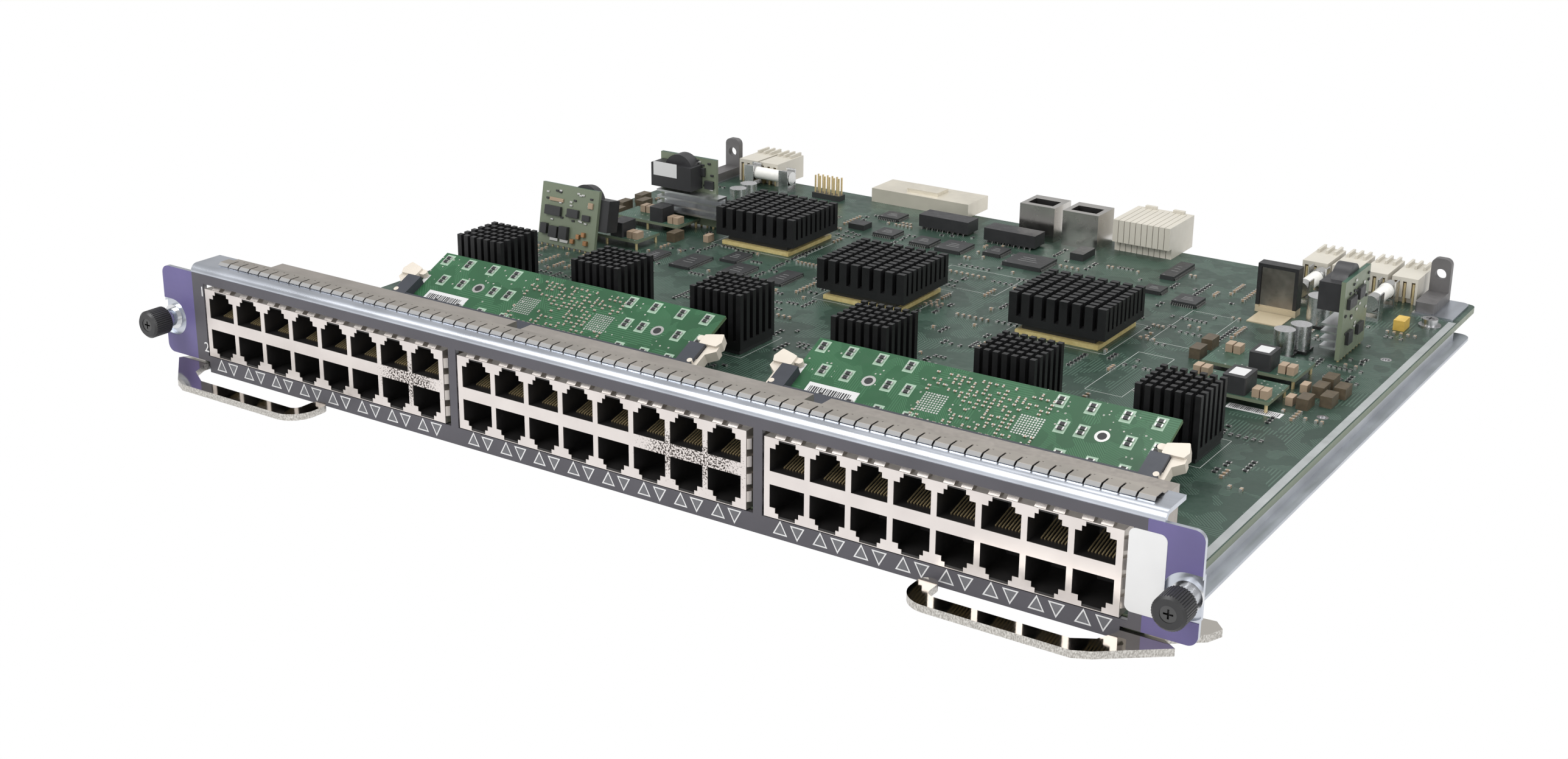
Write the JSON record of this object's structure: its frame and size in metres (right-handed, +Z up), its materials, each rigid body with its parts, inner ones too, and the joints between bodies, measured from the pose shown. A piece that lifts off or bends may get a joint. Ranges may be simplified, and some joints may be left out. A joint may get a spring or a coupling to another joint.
{
  "type": "switch line card",
  "caption": "Line card for a rack chassis: a horizontal circuit board on a steel tray, jacks along its face, ejector levers, captive thumbscrews and rear connectors.",
  "frame": {"origin": "under the middle of the whole card, on the plane of the tray's underside", "axes": "+X to the right seen from the face, +Y to the rear connectors, +Z up from the tray"},
  "size_m": [0.401, 0.355, 0.0409],
  "materials": {
    "zinc_steel": "zinc plated, satin",
    "nickel_steel": "nickel plated, mirror polished",
    "jack_metal": "nickel plated sheet, light corrosion marks",
    "spring_metal": "bright stamped spring strip",
    "screw_steel": "plated",
    "film": "dark grey and purple printed film, fine texture",
    "label_white": "bare white label",
    "clear_window": "milky clear moulding",
    "black_plastic": "moulded, satin",
    "board_green": "solder mask, satin gloss",
    "module_green": "solder mask, satin gloss",
    "socket_slate": "moulded",
    "ivory_plastic": "moulded nylon",
    "warm_beige": "moulded",
    "black_anodised": "black anodised, satin",
    "bare_aluminium": "extruded, bare",
    "gold": "gold plated",
    "tantalum_yellow": "moulded",
    "ceramic_tan": "fired, with tinned ends",
    "can_metal": "drawn aluminium can with a printed sector",
    "fuse_white": "white tube with nickel caps",
    "cast_metal": "die cast, as cast"
  },
  "bodies": {
    "base": {"base_tray": "zinc_steel", "blank_label": "label_white", "board_screws": "screw_steel", "board_standoffs": "screw_steel", "ceramic_capacitors": "ceramic_tan", "chip_packages": "black_plastic", "choke": "black_plastic", "connector_pins": "gold", "converter_boards": "board_green", "converter_sinks": "bare_aluminium", "corner_plates": "zinc_steel", "edge_rails": "bare_aluminium", "ejector_pivots": "screw_steel", "electrolytic_cans": "can_metal", "emi_finger_strip": "spring_metal", "face_plate": "zinc_steel", "fuse_clips": "nickel_steel", "fuses": "fuse_white", "guide_ears": "cast_metal", "inductors": "black_plastic", "jack_contacts": "gold", "jack_frames": "black_plastic", "jack_shields": "jack_metal", "jack_tongues": "black_plastic", "jack_transformers": "black_plastic", "large_heat_sinks": "black_anodised", "latch_pins": "ivory_plastic", "left_thumb_spring": "spring_metal", "light_pipes": "clear_window", "logic_chips": "black_plastic", "main_board": "board_green", "module_boards": "module_green", "module_sockets": "socket_slate", "panel_overlay": "film", "pin_header": "black_plastic", "power_connectors": "warm_beige", "raised_boards": "board_green", "rear_connector_insert": "black_plastic", "rear_connector_shell": "zinc_steel", "rear_jack_housings": "black_plastic", "rear_jack_shields": "jack_metal", "right_thumb_spring": "spring_metal", "small_heat_sinks": "black_anodised", "support_pins": "gold", "tantalum_blocks": "tantalum_yellow", "thumb_sleeves": "screw_steel", "transformers": "black_plastic", "wafer_connector": "warm_beige"},
    "right_ejector": {"right_ejector": "nickel_steel"},
    "left_ejector": {"left_ejector": "nickel_steel"},
    "right_plunger": {"right_retaining_ring": "screw_steel"},
    "right_thumb": {"right_thumb_knob": "black_plastic", "right_thumb_screw": "screw_steel"},
    "left_plunger": {"left_retaining_ring": "screw_steel"},
    "left_thumb": {"left_thumb_knob": "black_plastic", "left_thumb_screw": "screw_steel"},
    "left_module_left_latch": {"left_module_left_latch": "ivory_plastic"},
    "left_module_right_latch": {"left_module_right_latch": "ivory_plastic"},
    "right_module_left_latch": {"right_module_left_latch": "ivory_plastic"},
    "right_module_right_latch": {"right_module_right_latch": "ivory_plastic"}
  },
  "joints": [
    {"name": "right_ejector_hinge", "type": "hinge", "parent": "base", "child": "right_ejector", "pos_m": [0.184, -0.1485, 0.00225], "axis": [0, 0, 1], "range_deg": [0, 65]},
    {"name": "right_thumb_slide", "type": "slide", "parent": "base", "child": "right_plunger", "axis": [0, 1, 0], "range_m": [0, 0.004], "stiffness_N_per_m": 300, "deforming": ["right_thumb_spring"]},
    {"name": "right_thumb_spin", "type": "hinge", "parent": "right_plunger", "child": "right_thumb", "pos_m": [0.1953, -0.1655, 0.0177], "axis": [0, 1, 0], "continuous": true},
    {"name": "left_ejector_hinge", "type": "hinge", "parent": "base", "child": "left_ejector", "pos_m": [-0.184, -0.1485, 0.00225], "axis": [0, 0, 1], "range_deg": [-65, 0]},
    {"name": "left_thumb_slide", "type": "slide", "parent": "base", "child": "left_plunger", "axis": [0, 1, 0], "range_m": [0, 0.004], "stiffness_N_per_m": 300, "deforming": ["left_thumb_spring"]},
    {"name": "left_thumb_spin", "type": "hinge", "parent": "left_plunger", "child": "left_thumb", "pos_m": [-0.1953, -0.1655, 0.0177], "axis": [0, 1, 0], "continuous": true},
    {"name": "left_module_left_latch_hinge", "type": "hinge", "parent": "base", "child": "left_module_left_latch", "pos_m": [-0.15793, -0.08093, 0.0123], "axis": [0, -0.4226, 0.9063], "range_deg": [0, 28]},
    {"name": "left_module_right_latch_hinge", "type": "hinge", "parent": "base", "child": "left_module_right_latch", "pos_m": [-0.01878, -0.08093, 0.0123], "axis": [0, -0.4226, 0.9063], "range_deg": [-28, 0]},
    {"name": "right_module_left_latch_hinge", "type": "hinge", "parent": "base", "child": "right_module_left_latch", "pos_m": [0.01542, -0.08093, 0.0123], "axis": [0, -0.4226, 0.9063], "range_deg": [0, 28]},
    {"name": "right_module_right_latch_hinge", "type": "hinge", "parent": "base", "child": "right_module_right_latch", "pos_m": [0.15457, -0.08093, 0.0123], "axis": [0, -0.4226, 0.9063], "range_deg": [-28, 0]}
  ]
}
